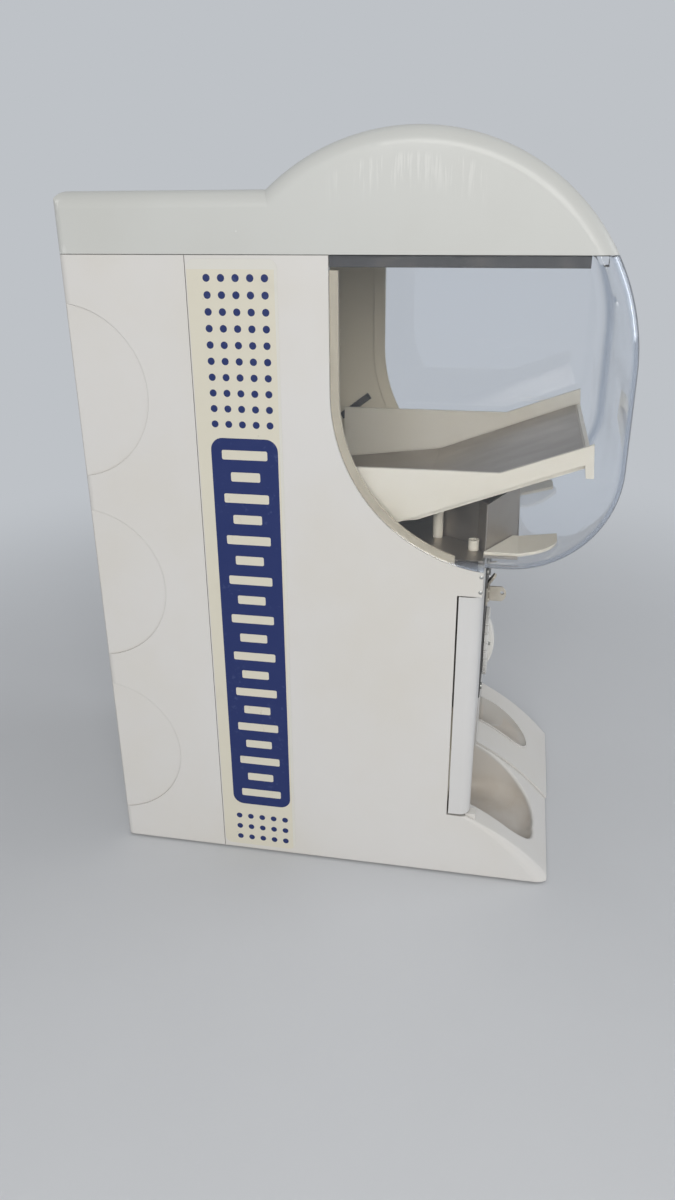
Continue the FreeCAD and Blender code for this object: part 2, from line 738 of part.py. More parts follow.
def hull_bar(first, first_r, second, second_r, level, thick):
    # A flat bar round two centres, in the XZ plane.
    gap = math.dist(first, second)
    lean = math.atan2(second[1] - first[1], second[0] - first[0])
    spread = math.acos((first_r - second_r) / gap)

    def at(centre, radius, turn):
        return (centre[0] + radius * math.cos(turn), centre[1] + radius * math.sin(turn))

    wire = outline(xz, level, at(first, first_r, lean + spread),
                   at(second, second_r, lean + spread),
                   (at(second, second_r, lean), at(second, second_r, lean - spread)),
                   at(first, first_r, lean - spread),
                   (at(first, first_r, lean + math.pi), at(first, first_r, lean + spread)))
    return prism(wire, Y_AXIS, thick)


def ratchet_pawl():
    turn = math.radians(115)
    tip = (19.6 * math.cos(turn), dial_z + 19.6 * math.sin(turn))
    arm = hull_bar((pawl_x, pawl_z), 4.5, tip, 1.0, pawl_y, pawl_thick)
    return arm.cut(cyl(pin_r + running, (pawl_x, -100, pawl_z), Y_AXIS, 40))


def pawl_pin():
    pin = cyl(pin_r, (pawl_x, -82, pawl_z), Y_AXIS, 24)
    return pin.fuse(cyl(3.2, (pawl_x, -83.2, pawl_z), Y_AXIS, 1.2)).removeSplitter()


def coil(radius, wire_r, pitch, turns):
    helix = Part.makeHelix(pitch, pitch * turns, radius)
    section = Part.Wire(Part.makeCircle(wire_r, V(radius, 0, 0), Y_AXIS))
    return Part.Wire(helix.Edges).makePipeShell([section], True, True)


def pawl_spring():
    spring = coil(3.0, 0.4, 1.3, 5)
    spring.rotate(V(0, 0, 0), X_AXIS, -90)
    spring.translate(V(pawl_x, -74.5, pawl_z))
    return spring


def return_lever():
    hub = cyl(2.9, (4, lever_pivot[0], lever_pivot[1]), X_AXIS, 7)
    reach = math.dist(lever_pivot, lever_tip)
    lean = math.degrees(math.atan2(lever_tip[1] - lever_pivot[1], lever_tip[0] - lever_pivot[0]))
    blade = box(4, 12, 0, reach, -1, 1)
    blade = round_edges(blade, 3, lambda e: e.Length < 2.1 and e.CenterOfMass.y > reach - 1)
    blade.rotate(V(0, 0, 0), X_AXIS, lean)
    blade.translate(V(0, lever_pivot[0], lever_pivot[1]))
    bore = cyl(1.5 + running, (0, lever_pivot[0], lever_pivot[1]), X_AXIS, 20)
    return hub.fuse(blade).cut(bore).removeSplitter()


def lever_pin():
    return cyl(1.5, (0, lever_pivot[0], lever_pivot[1]), X_AXIS, 18.5)


def lever_spring():
    spring = coil(2.4, 0.35, 0.9, 3)
    spring.rotate(V(0, 0, 0), Y_AXIS, 90)
    spring.translate(V(12.0, lever_pivot[0], lever_pivot[1]))
    return spring


# Drive: a bevel pair takes the dial's turn down to a third and up to the rotor
def bevel(teeth, pitch_r, phase):
    # The apex is at the origin and the teeth spread towards -Z.
    cone = math.asin(pitch_r / cone_length)
    half_pitch = tooth_share * math.pi / teeth
    near = cone_length - tooth_face
    sunk = 0.4 * root_angle

    def spot(reach, tilt, turn):
        flat = reach * math.sin(tilt)
        return V(flat * math.cos(turn), flat * math.sin(turn), -reach * math.cos(tilt))

    def tooth(turn):
        corners = []
        for reach in (near, cone_length):
            for rise in (-root_angle - sunk, tip_angle):
                half = half_pitch - flank_slope * rise / math.sin(cone)
                corners += [spot(reach, cone + rise, turn - half), spot(reach, cone + rise, turn + half)]
        sides = ((0, 1, 3, 2), (4, 5, 7, 6), (0, 1, 5, 4), (2, 3, 7, 6), (0, 2, 6, 4), (1, 3, 7, 5))
        faces = [Part.Face(Part.makePolygon([corners[i] for i in side + side[:1]])) for side in sides]
        solid = Part.makeSolid(Part.makeShell(faces))
        if solid.Volume < 0:
            solid.reverse()
        return solid

    root = cone - root_angle
    inner = (near * math.sin(root), -near * math.cos(root))
    outer = (cone_length * math.sin(root), -cone_length * math.cos(root))
    core = outline(xz, 0, (0, inner[1]), inner, outer, (0, outer[1]))
    body = Part.Face(core).revolve(V(0, 0, 0), Z_AXIS, 360)
    step = 2 * math.pi / teeth
    return body.fuse([tooth(phase + index * step) for index in range(teeth)]), outer


def bevel_pinion():
    pinion, outer = bevel(pinion_teeth, pinion_pitch, -math.pi / 2)
    pinion = pinion.fuse(cyl(outer[0], (0, 0, outer[1] - 5), Z_AXIS, 5))
    pinion.rotate(V(0, 0, 0), X_AXIS, -90)
    pinion.translate(V(0, rotor_y, dial_z))
    return pinion.cut(cyl(shaft_r, (0, 0, dial_z), Y_AXIS, 120)).removeSplitter()


def bevel_gear():
    gear, outer = bevel(gear_teeth, gear_pitch, -math.pi / 2 + math.pi / gear_teeth)
    gear = gear.fuse([cyl(outer[0], (0, 0, outer[1] - 5), Z_AXIS, 5),
                      cyl(11, (0, 0, outer[1] - 12), Z_AXIS, 9)])
    gear.translate(V(0, rotor_y, dial_z))
    return gear.cut(cyl(shaft_r, (0, rotor_y, 100), Z_AXIS, 100)).removeSplitter()


def drive_bracket():
    upright = box(bracket_left, bracket_right, 50, 53, plate_top, 182)
    shelf = box(bracket_left, bracket_right, 53, 128, shelf_z, shelf_z + 3)
    leg = box(bracket_left, bracket_right, 125, 128, plate_top, shelf_z)
    feet = [box(bracket_left, bracket_right, low, low + 12, plate_top, plate_top + 3)
            for low in (38, 128)]
    bracket = upright.fuse([shelf, leg] + feet)
    bracket = bracket.cut([
        cyl(bush_r + running, (0, 40, dial_z), Y_AXIS, 30),
        cyl(bush_r + running, (0, rotor_y, 120), Z_AXIS, 30),
    ])
    return bracket.removeSplitter()


def rotor_shaft():
    return cyl(shaft_r, (0, rotor_y, rotor_shaft_low), Z_AXIS, rotor_shaft_high - rotor_shaft_low)


def rotor_bushes():
    spans = ((shelf_z - 2.5, 8), (246.5, 8))
    return [ring(bush_r, shaft_r + running, (0, rotor_y, low), Z_AXIS, length) for low, length in spans]


def capsule_rotor():
    wheel = cyl(rotor_r, (0, rotor_y, rotor_low), Z_AXIS, rotor_high - rotor_low)
    hub = Part.makeCone(17, 7, 20, V(0, rotor_y, rotor_high))
    wheel = wheel.fuse(hub)
    for index in range(pockets):
        turn = math.radians(180 + 360 * index / pockets)
        place = (pocket_ring * math.cos(turn), rotor_y + pocket_ring * math.sin(turn), 240)
        wheel = wheel.cut(cyl(pocket_r, place, Z_AXIS, 80))
    return wheel.cut(cyl(shaft_r, (0, rotor_y, 200), Z_AXIS, rotor_shaft_high - 200)).removeSplitter()


def rotor_base():
    tub = cyl(tub_outer, (0, rotor_y, tub_floor), Z_AXIS, deck_top - tub_floor)
    deck = box(-109.4, 109.4, 26, back_y - wall - 1, deck_top - 3, deck_top)
    tub = tub.fuse(deck)
    tub = tub.cut([
        cyl(tub_inner, (0, rotor_y, tub_floor + 4), Z_AXIS, 60),
        cyl(drop_r, (-pocket_ring, rotor_y, 200), Z_AXIS, 60),
        cyl(bush_r + running, (0, rotor_y, 200), Z_AXIS, 60),
        box(-13, 13, 180, 200, 240, 290).cut(cyl(tub_outer, (0, rotor_y, 230), Z_AXIS, 70)),
    ])
    return tub.removeSplitter()


def drop_guard():
    wedge = outline(xz, 54, (-106, deck_top), (-27, deck_top), (-27, deck_top + 2), (-106, deck_top + 32))
    return prism(wedge, Y_AXIS, 86)


def slope_floor_z(y):
    rise = (slope_front[1] - slope_bend[1]) / (slope_bend[0] - slope_front[0])
    return slope_bend[1] + (slope_bend[0] - y) * rise


def lowered(point, drop):
    return (point[0], point[1] - drop)


def capsule_slope():
    top = (slope_front, slope_bend, slope_knee, slope_rear)
    floor = across(*top, *[lowered(point, slope_plate) for point in reversed(top)], half=slope_half)
    side = outline(yz, slope_half, (36, 347), (-112, 347), (-174.5, 370), (-176.5, 346), (-171, 346),
                   (-169.5, 355.5), (-40, 306.5), (36, 298))
    cheek = prism(side, X_AXIS, slope_plate)
    front = across((-174, 370), (-176.5, 346), (-173.5, 346), (-171, 366), half=slope_half)
    front = front.common(box(-slope_half, slope_half, -180, -160, 340, slope_front[1]))
    slope = floor.fuse(both_sides(cheek) + [front])
    return slope.cut(cyl(tub_outer + 1, (0, rotor_y, 280), Z_AXIS, 40)).removeSplitter()


def slope_liner():
    under = ((liner_front_y, slope_floor_z(liner_front_y)), slope_bend, slope_knee, slope_rear)
    over = [lowered(point, -liner_thick) for point in reversed(under)]
    sheet_line = outline(yz, 1 - slope_half, *under, *over)
    liner = prism(sheet_line, X_AXIS, 2 * slope_half - 2)
    return liner.cut(cyl(tub_outer + 1, (0, rotor_y, 280), Z_AXIS, 40))


def slope_posts():
    posts = []
    for x in (-60, 60):
        post = cyl(4, (x, -67, tray_top), Z_AXIS, 60)
        under = across((-100, tray_top), (-100, slope_floor_z(-100) - 3.4), lowered(slope_bend, 3.4),
                       (slope_bend[0], tray_top))
        posts.append(post.common(under))
        short_x = math.copysign(85, x)
        posts.append(ring(4, 2.4, (short_x, -96, tray_top), Z_AXIS, 8))
    return posts


def display_tray():
    inside = box(-108, 108, -104, -12, tray_low, tray_top)
    nose = box(-96, 96, tray_front, -104, tray_low, tray_top)
    feet = [box(x - 12, x + 12, -103, -93, rail_top, tray_low) for x in (-75, 75)]
    return inside.fuse([nose] + feet).removeSplitter()


# The cream plates at both sides of the board, rising to the front
def tray_apron():
    turn = 0.293 * apron_round
    plan = outline(xy, tray_top, (apron_inner, -124.6), (apron_tip, apron_front),
                   (apron_outer - apron_round, apron_front),
                   ((apron_outer - turn, apron_front + turn), (apron_outer, apron_front + apron_round)),
                   (apron_outer, -104.1))
    side = outline(yz, apron_inner, (-100, tray_top), (tray_front, tray_top),
                   (apron_front, tray_top + apron_rise), (apron_front, tray_top + apron_rise + apron_thick),
                   (tray_front, tray_top + apron_thick), (-100, tray_top + apron_thick))
    plate = prism(side, X_AXIS, apron_outer - apron_inner).common(prism(plan, Z_AXIS, 30))
    return both_sides(plate)


# The display board: one sheet with rounded bends, cut off under the slope
def display_board():
    line = [(-x, y) for x, y in reversed(board_bends)] + list(board_bends)
    strips = [cyl(board_sheet / 2, (x, y, tray_top), Z_AXIS, 50) for x, y in line[1:-1]]
    for first, second in zip(line, line[1:]):
        reach = math.dist(first, second)
        strip = box(0, reach, -board_sheet / 2, board_sheet / 2, 0, 50)
        lean = math.degrees(math.atan2(second[1] - first[1], second[0] - first[0]))
        strip.rotate(V(0, 0, 0), Z_AXIS, lean)
        strip.translate(V(first[0], first[1], tray_top))
        strips.append(strip)
    board = strips[0].fuse(strips[1:])
    under = across((-150, tray_top), (-150, 324), (-126, 324), (-90, 318), (-57, 306), (-57, tray_top))
    return board.common(under).removeSplitter()


def wall_strip():
    strip = box(inner_half - 2, inner_half, -16.5, 16.5, -3, 3)
    slots = [box(100, inner_half - 1, -15 + 3 * i, -13.5 + 3 * i, -2, 2) for i in range(10)]
    strip = strip.cut(slots)
    strip.rotate(V(0, 0, 0), X_AXIS, strip_lean)
    strip.translate(V(0, strip_y, strip_z))
    return strip


def chute_z(y):
    rise = (chute_rear_z - chute_front_z) / (chute_rear_y - chute_front_y)
    return chute_front_z + (y - chute_front_y) * rise


def capsule_chute():
    width = chute_right - chute_left
    low_front = chute_front_z - chute_sheet
    low_rear = chute_rear_z - chute_sheet
    bend_y = chute_front_y + (chute_top - chute_wall_high - chute_front_z) / (chute_z(1) - chute_z(0))
    floor = outline(yz, chute_left, (chute_front_y, chute_front_z), (chute_rear_y, chute_rear_z),
                    (chute_rear_y, low_rear), (chute_front_y, low_front))
    side = outline(yz, chute_left, (chute_front_y, low_front),
                   (chute_front_y, chute_front_z + chute_wall_high), (bend_y, chute_top),
                   (chute_rear_y, chute_top), (chute_rear_y, low_rear))
    cheek = prism(side, X_AXIS, sheet)
    other = cheek.copy()
    other.translate(V(width - sheet, 0, 0))
    rear = box(chute_left, chute_right, chute_rear_y, chute_rear_y + sheet, low_rear, chute_top)
    legs = [box(chute_left, right, y, y + 2.4, plate_top, chute_z(y))
            for y, right in ((-60, -20), (115, -34))]
    return prism(floor, X_AXIS, width).fuse([cheek, other, rear] + legs).removeSplitter()


def return_cup():
    low, low_way, low_end = toe_line(0.05)
    top, top_way, top_end = toe_line(overlay_lift)
    overlay = outline(yz, 0, low, (low_way, low_end), top_end, (top_way, top))
    plate = prism(overlay, X_AXIS, 113)
    high, high_way, high_end = toe_line(overlay_lift + 1)
    raised = prism(outline(yz, 0, low, (low_way, low_end), high_end, (high_way, high)), X_AXIS, 113)
    plate = plate.fuse(raised.common(scoop_solid(cup_wire, cup_floor, cup_round, cup_rim)))
    skirt = scoop_solid(cup_wire, cup_floor, cup_round, cup_wall)
    under = across((-84, 0), (-84, toe_ledge - 0.6), low, (low_way, low_end), (low_end[0], 0))
    cup = plate.fuse(skirt.common(under))
    cup = cup.cut(scoop_solid(cup_wire, cup_floor, cup_round))
    return cup.common(box(-10, 113, -180, recess_edge_y - 0.3, 0, 61)).removeSplitter()


pieces = {
    "rear_shell": rear_shell,
    "front_shell": front_shell,
    "base_plate": base_plate,
    "base_screws": base_screws,
    "rubber_feet": rubber_feet,
    "top_cap": top_cap,
    "lid_seal": lid_seal,
    "lid_lock": lid_lock,
    "lid_lock_cam": lid_lock_cam,
    "lid_keeper": lid_keeper,
    "window_cover": window_cover,
    "cover_clips": cover_clips,
    "left_sticker": lambda: sticker(-1),
    "right_sticker": lambda: sticker(1),
    "rail_screws": rail_screws,
    "front_door": front_door,
    "door_hinge_pins": door_hinge_pins,
    "door_lock": door_lock,
    "door_lock_cam": door_lock_cam,
    "door_strike": door_strike,
    "coin_box": coin_box,
    "return_chute": return_chute,
    "mech_plate": mech_plate,
    "mech_frame": mech_frame,
    "mech_screws": mech_screws,
    "seal_lug": seal_lug,
    "dial": dial,
    "dial_shaft": dial_shaft,
    "shaft_bushes": shaft_bushes,
    "coin_wheel": coin_wheel,
    "coin_guide": coin_guide,
    "ratchet_wheel": ratchet_wheel,
    "ratchet_pawl": ratchet_pawl,
    "pawl_pin": pawl_pin,
    "pawl_spring": pawl_spring,
    "return_lever": return_lever,
    "lever_pin": lever_pin,
    "lever_spring": lever_spring,
    "bevel_pinion": bevel_pinion,
    "bevel_gear": bevel_gear,
    "drive_bracket": drive_bracket,
    "rotor_shaft": rotor_shaft,
    "rotor_bushes": rotor_bushes,
    "capsule_rotor": capsule_rotor,
    "rotor_base": rotor_base,
    "drop_guard": drop_guard,
    "capsule_slope": capsule_slope,
    "slope_liner": slope_liner,
    "slope_posts": slope_posts,
    "display_tray": display_tray,
    "tray_apron": tray_apron,
    "display_board": display_board,
    "wall_strip": wall_strip,
    "capsule_chute": capsule_chute,
    "return_cup": return_cup,
}

for name, make in pieces.items():
    save(name, make())
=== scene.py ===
import math

import bmesh
import bpy
from mathutils import Matrix, Vector


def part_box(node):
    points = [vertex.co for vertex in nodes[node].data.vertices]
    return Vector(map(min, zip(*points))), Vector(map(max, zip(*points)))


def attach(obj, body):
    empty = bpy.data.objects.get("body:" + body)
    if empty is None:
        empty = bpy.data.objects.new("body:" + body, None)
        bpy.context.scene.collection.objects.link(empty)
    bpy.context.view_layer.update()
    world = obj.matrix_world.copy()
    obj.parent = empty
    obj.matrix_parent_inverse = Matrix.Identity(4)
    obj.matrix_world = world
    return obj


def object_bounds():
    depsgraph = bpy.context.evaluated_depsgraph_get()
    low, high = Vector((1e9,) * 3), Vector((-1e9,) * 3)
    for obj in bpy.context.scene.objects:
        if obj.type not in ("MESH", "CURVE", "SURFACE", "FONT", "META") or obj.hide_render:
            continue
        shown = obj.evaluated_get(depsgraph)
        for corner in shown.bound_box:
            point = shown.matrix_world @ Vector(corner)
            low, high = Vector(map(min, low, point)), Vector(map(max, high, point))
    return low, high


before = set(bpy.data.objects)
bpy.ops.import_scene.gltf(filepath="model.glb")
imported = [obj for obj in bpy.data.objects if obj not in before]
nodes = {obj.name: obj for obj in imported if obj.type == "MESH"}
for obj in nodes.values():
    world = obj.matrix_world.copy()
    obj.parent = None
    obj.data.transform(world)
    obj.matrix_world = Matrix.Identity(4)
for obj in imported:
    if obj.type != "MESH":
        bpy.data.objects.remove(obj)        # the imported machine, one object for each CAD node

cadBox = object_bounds()
mm = 0.001
print("frame loaded:", len(nodes), "nodes")


# Shader helpers. A value fed to a socket is a number, a colour or another node's output.
noiseMiddle = (0.3, 0.7)        # where most of a noise's values lie


def paint(red, green, blue):
    # a colour as the eye reads it, 0 to 255, in the shader's linear numbers
    def linear(part):
        part = part / 255
        return part / 12.92 if part <= 0.04045 else ((part + 0.055) / 1.055) ** 2.4
    return (linear(red), linear(green), linear(blue), 1.0)


def feed(tree, socket, value):
    if isinstance(value, bpy.types.NodeSocket):
        tree.links.new(value, socket)
    else:
        socket.default_value = value


def addNode(tree, kind, feeds=None, **settings):
    made = tree.nodes.new("ShaderNode" + kind)
    for name, value in settings.items():
        setattr(made, name, value)
    for socket, value in (feeds or {}).items():
        feed(tree, made.inputs[socket], value)
    return made


def newMaterial(name):
    material = bpy.data.materials.new(name)
    material.use_nodes = True
    return material, material.node_tree, material.node_tree.nodes["Principled BSDF"]


def spot(tree, stretch=(1, 1, 1), turn=(0, 0, 0)):
    place = addNode(tree, "TexCoord").outputs["Object"]
    turned = addNode(tree, "VectorRotate", {"Vector": place, "Rotation": turn}, rotation_type="EULER_XYZ")
    return addNode(tree, "Mapping", {"Vector": turned.outputs[0], "Scale": stretch}).outputs[0]


def axes(tree):
    split = addNode(tree, "SeparateXYZ", {"Vector": addNode(tree, "TexCoord").outputs["Object"]})
    return split.outputs["X"], split.outputs["Y"], split.outputs["Z"]


def noise(tree, scale, detail=3.0, rough=0.55, stretch=(1, 1, 1), turn=(0, 0, 0)):
    feeds = {"Vector": spot(tree, stretch, turn), "Scale": scale, "Detail": detail, "Roughness": rough}
    return addNode(tree, "TexNoise", feeds).outputs["Fac"]


def maths(tree, operation, first, second=0.0):
    return addNode(tree, "Math", {0: first, 1: second}, operation=operation).outputs[0]


def times(tree, *values):
    result = values[0]
    for value in values[1:]:
        result = maths(tree, "MULTIPLY", result, value)
    return result


def most(tree, *values):
    result = values[0]
    for value in values[1:]:
        result = maths(tree, "MAXIMUM", result, value)
    return result


def between(tree, value, low, high, first=0.0, last=1.0):
    feeds = {"Value": value, "From Min": low, "From Max": high, "To Min": first, "To Max": last}
    return addNode(tree, "MapRange", feeds, interpolation_type="SMOOTHSTEP").outputs[0]


def within(tree, value, sides):
    over = maths(tree, "GREATER_THAN", value, sides[0])
    return times(tree, over, maths(tree, "LESS_THAN", value, sides[1]))


def mixed(tree, share, first, second):
    made = addNode(tree, "Mix", {0: share, 6: first, 7: second}, data_type="RGBA")
    return made.outputs[2]


def specks(tree, scale, size, share, core=0.4):
    # round spots in some cells of a pattern; core is the part of a spot that is solid
    cells = addNode(tree, "TexVoronoi", {"Vector": spot(tree), "Scale": scale})
    pick = addNode(tree, "SeparateColor", {"Color": cells.outputs["Color"]}).outputs["Red"]
    near = between(tree, cells.outputs["Distance"], size * scale, core * size * scale)
    return times(tree, maths(tree, "LESS_THAN", pick, share), near)


def scratches(tree, scale, turn, width, cover, patchScale=16, patchSoft=0.08):
    # thin lines where a stretched noise passes its middle, broken into patches
    lines = noise(tree, scale, 2.0, 0.4, (1, 0.04, 1), turn)
    line = between(tree, maths(tree, "ABSOLUTE", maths(tree, "SUBTRACT", lines, 0.5)), width, 0.0)
    bare = 1 - cover
    patch = between(tree, noise(tree, patchScale, 2.0), bare, bare + patchSoft)
    return times(tree, line, patch)


def creviceShade(tree, reach, openFrom=0.8, closedFrom=0.2):
    # painted shade: darker where ambient occlusion finds nearby surfaces, in seams, corners and recesses
    shade = addNode(tree, "AmbientOcclusion", {"Distance": reach}, samples=6)
    return between(tree, shade.outputs["AO"], openFrom, closedFrom)


def bumped(tree, height, depth, edge=0.0):
    feeds = {"Height": height, "Distance": depth}
    if edge:
        feeds["Normal"] = addNode(tree, "Bevel", {"Radius": edge}, samples=4).outputs["Normal"]
    return addNode(tree, "Bump", feeds).outputs["Normal"]


def swing(look):
    return look["rough"] - look["roughSwing"], look["rough"] + look["roughSwing"]


def dress(material, *names):
    for name in names:
        for slot in nodes[name].material_slots:
            slot.material = material


# Moulded white plastic: clouded colour, painted shade tinted as grime in the seams and corners, specks, a
# faint peel and soft edges
whiteLook = {
    "colour": paint(222, 220, 217), "aged": paint(216, 211, 200),
    "cloudScale": 7.0, "cloudRange": (0.35, 0.75), "cloudShare": 0.55,
    "rough": 0.42, "roughSwing": 0.06, "smearScale": 24.0, "smearRange": (0.3, 0.72),
    "grimeAndShade": paint(118, 110, 98), "shadeReach": 5 * mm, "shadeShare": 0.5,
    "speck": paint(96, 88, 78), "speckScale": 46.0, "speckSize": 0.45 * mm, "speckCount": 0.10,
    "speckShare": 0.7,
    "peelScale": 420.0, "peelDepth": 0.012 * mm, "edge": 0.5 * mm,
    "bend": 1.5, "coat": 0.0, "coatRough": 0.08,
}


def mouldedPlastic(name, look, marks=None):
    material, tree, shader = newMaterial(name)
    cloud = noise(tree, look["cloudScale"], 4.0)
    age = between(tree, cloud, *look["cloudRange"], 0.0, look["cloudShare"])
    colour = mixed(tree, age, look["colour"], look["aged"])
    smear = noise(tree, look["smearScale"], 5.0, 0.6, (1, 1, 0.4))
    rough = between(tree, smear, *look["smearRange"], *swing(look))
    if marks:
        colour, rough = marks(tree, colour, rough)
    # painted shade tinted as grime: seams and corners darkened by ambient occlusion
    shadeAndGrime = times(tree, creviceShade(tree, look["shadeReach"]), look["shadeShare"])
    colour = mixed(tree, shadeAndGrime, colour, look["grimeAndShade"])
    spots = specks(tree, look["speckScale"], look["speckSize"], look["speckCount"])
    colour = mixed(tree, times(tree, spots, look["speckShare"]), colour, look["speck"])
    feed(tree, shader.inputs["Base Color"], colour)
    feed(tree, shader.inputs["Roughness"], rough)
    peel = noise(tree, look["peelScale"], 2.0)
    feed(tree, shader.inputs["Normal"], bumped(tree, peel, look["peelDepth"], look["edge"]))
    shader.inputs["IOR"].default_value = look["bend"]
    shader.inputs["Coat Weight"].default_value = look["coat"]
    shader.inputs["Coat Roughness"].default_value = look["coatRough"]
    return material


# Casing shells: darker and yellower on the inside, part yellowing and part painted shade, and stained in the
# bowl and the cup of the toe
shellMarks = {
    "insideHalf": 113.1 * mm, "insideFront": -87.0 * mm, "insideBack": 195.5 * mm,
    "inside": paint(196, 186, 164),
    "toeTop": (-103.0, 59.9), "toeWay": (-142.0, 35.0), "toeEnd": (-172.5, 5.0),
    "bowl": paint(222, 216, 208), "bowlShare": 0.8, "bowlDepth": (1.5 * mm, 5 * mm),
    "bowlSides": (-94.0 * mm, -0.8 * mm), "cupSides": (39.2 * mm, 82.6 * mm),
    "stain": paint(192, 174, 150), "stainShare": 0.3, "stainHeight": (34 * mm, 12 * mm),
    "stainScale": 30, "stainRange": (0.35, 0.7),
}


def circleThrough(first, second, third):
    start = Vector(first)
    one = Vector(second) - start
    two = Vector(third) - start
    area = 2 * one.cross(two)
    x = (two.y * one.length_squared - one.y * two.length_squared) / area
    y = (one.x * two.length_squared - two.x * one.length_squared) / area
    return (start.x + x, start.y + y), math.hypot(x, y)


def depthUnder(tree, centre, radius):
    # how far a point lies inside an arc in side view, in metres
    _, along, up = axes(tree)
    reach = maths(tree, "POWER", maths(tree, "SUBTRACT", along, centre[0] * mm), 2.0)
    rise = maths(tree, "POWER", maths(tree, "SUBTRACT", up, centre[1] * mm), 2.0)
    return maths(tree, "SUBTRACT", radius * mm, maths(tree, "SQRT", maths(tree, "ADD", reach, rise)))


def shellSides(tree, colour, rough):
    across, along, up = axes(tree)
    half = maths(tree, "ABSOLUTE", across)
    inside = times(tree, maths(tree, "LESS_THAN", half, shellMarks["insideHalf"]),
                   within(tree, along, (shellMarks["insideFront"], shellMarks["insideBack"])))
    # inner faces: a darker, yellower cream, part yellowing and part painted shade
    colour = mixed(tree, inside, colour, shellMarks["inside"])
    centre, radius = circleThrough(shellMarks["toeTop"], shellMarks["toeWay"], shellMarks["toeEnd"])
    scooped = most(tree, within(tree, across, shellMarks["bowlSides"]),
                   within(tree, across, shellMarks["cupSides"]))
    bowl = times(tree, between(tree, depthUnder(tree, centre, radius), *shellMarks["bowlDepth"]),
                 maths(tree, "LESS_THAN", along, shellMarks["insideFront"]), scooped)
    colour = mixed(tree, times(tree, bowl, shellMarks["bowlShare"]), colour, shellMarks["bowl"])
    patches = between(tree, noise(tree, shellMarks["stainScale"], 4.0), *shellMarks["stainRange"])
    low = times(tree, bowl, between(tree, up, *shellMarks["stainHeight"]), patches)
    colour = mixed(tree, times(tree, low, shellMarks["stainShare"]), colour, shellMarks["stain"])
    return colour, rough


dress(mouldedPlastic("shellWhite", whiteLook, shellSides), "front_shell", "rear_shell", "return_cup")
doorLook = dict(whiteLook, colour=paint(220, 219, 218), aged=paint(211, 210, 206), rough=0.36)
dress(mouldedPlastic("doorWhite", doorLook), "front_door")


# Lid: glossier and a little cooler, with pale drip marks under the dome, chips and worn rear corners
lidLook = dict(whiteLook, colour=paint(207, 208, 204), aged=paint(199, 199, 193), cloudShare=0.5,
               rough=0.4, roughSwing=0.05, coat=0.12, peelDepth=0.006 * mm)
lidMarks = {
    "domeCentre": (-47.5, 417.5), "flatRadius": 138.5,
    "drip": paint(236, 236, 232), "dripShare": 0.45, "dripStart": (3 * mm, 8 * mm),
    "dripStop": (30 * mm, 11 * mm), "dripRear": 12 * mm, "dripFront": -104 * mm, "dripFade": 25 * mm,
    "dripGrain": (40, 330, 22), "dripRange": (0.5, 0.62),
    "scuff": paint(238, 238, 235), "dulling": 0.25,
    "rearEdge": 188 * mm, "rearFade": 7 * mm, "cornerHalf": 106 * mm, "cornerFade": 5 * mm,
    "wornScale": 130, "wornRange": (0.5, 0.62), "wornShare": 0.8,
    "chipScale": 34, "chipSize": 1.1 * mm, "chipCount": 0.16, "chipShare": 0.7,
}


def lidSides(tree, colour, rough):
    across, along, _ = axes(tree)
    half = maths(tree, "ABSOLUTE", across)
    depth = depthUnder(tree, lidMarks["domeCentre"], lidMarks["flatRadius"])
    front, rear, fade = (lidMarks[key] for key in ("dripFront", "dripRear", "dripFade"))
    band = times(tree, between(tree, depth, *lidMarks["dripStart"]),
                 between(tree, depth, *lidMarks["dripStop"]),
                 between(tree, along, front, front + fade), between(tree, along, rear, rear - fade))
    runs = between(tree, noise(tree, 1.0, 3.0, 0.6, lidMarks["dripGrain"]), *lidMarks["dripRange"])
    drips = times(tree, band, runs)
    colour = mixed(tree, times(tree, drips, lidMarks["dripShare"]), colour, lidMarks["drip"])
    edge, corner = lidMarks["rearEdge"], lidMarks["cornerHalf"]
    patches = noise(tree, lidMarks["wornScale"], 3.0, 0.7, (1, 1, 0.25))
    worn = times(tree, between(tree, along, edge, edge + lidMarks["rearFade"]),
                 between(tree, half, corner, corner + lidMarks["cornerFade"]),
                 between(tree, patches, *lidMarks["wornRange"]))
    chips = specks(tree, lidMarks["chipScale"], lidMarks["chipSize"], lidMarks["chipCount"])
    scuffs = most(tree, times(tree, worn, lidMarks["wornShare"]), times(tree, chips, lidMarks["chipShare"]))
    colour = mixed(tree, scuffs, colour, lidMarks["scuff"])
    dull = times(tree, most(tree, drips, scuffs), lidMarks["dulling"])
    return colour, maths(tree, "ADD", rough, dull)


dress(mouldedPlastic("lidWhite", lidLook, lidSides), "top_cap")

# Inside: the cream slope and plates, the dial, and the drive's plain nylon
creamLook = dict(whiteLook, colour=paint(208, 202, 189), aged=paint(196, 186, 164), cloudShare=0.6,
                 rough=0.38, grimeAndShade=paint(112, 96, 74), shadeShare=0.4)
dress(mouldedPlastic("innerCream", creamLook), "capsule_slope", "slope_posts", "tray_apron", "drop_guard")
dialLook = dict(whiteLook, colour=paint(226, 225, 221), aged=paint(214, 208, 194), rough=0.33,
                shadeReach=3 * mm, shadeShare=0.65)
dress(mouldedPlastic("dialWhite", dialLook), "dial")
nylonLook = dict(whiteLook, colour=paint(214, 208, 190), aged=paint(196, 184, 152), rough=0.45,
                 shadeShare=0.3)
dress(mouldedPlastic("gearPlastic", nylonLook), "bevel_pinion", "bevel_gear", "capsule_rotor", "rotor_base",
      "capsule_chute")
print("white and cream plastics done")
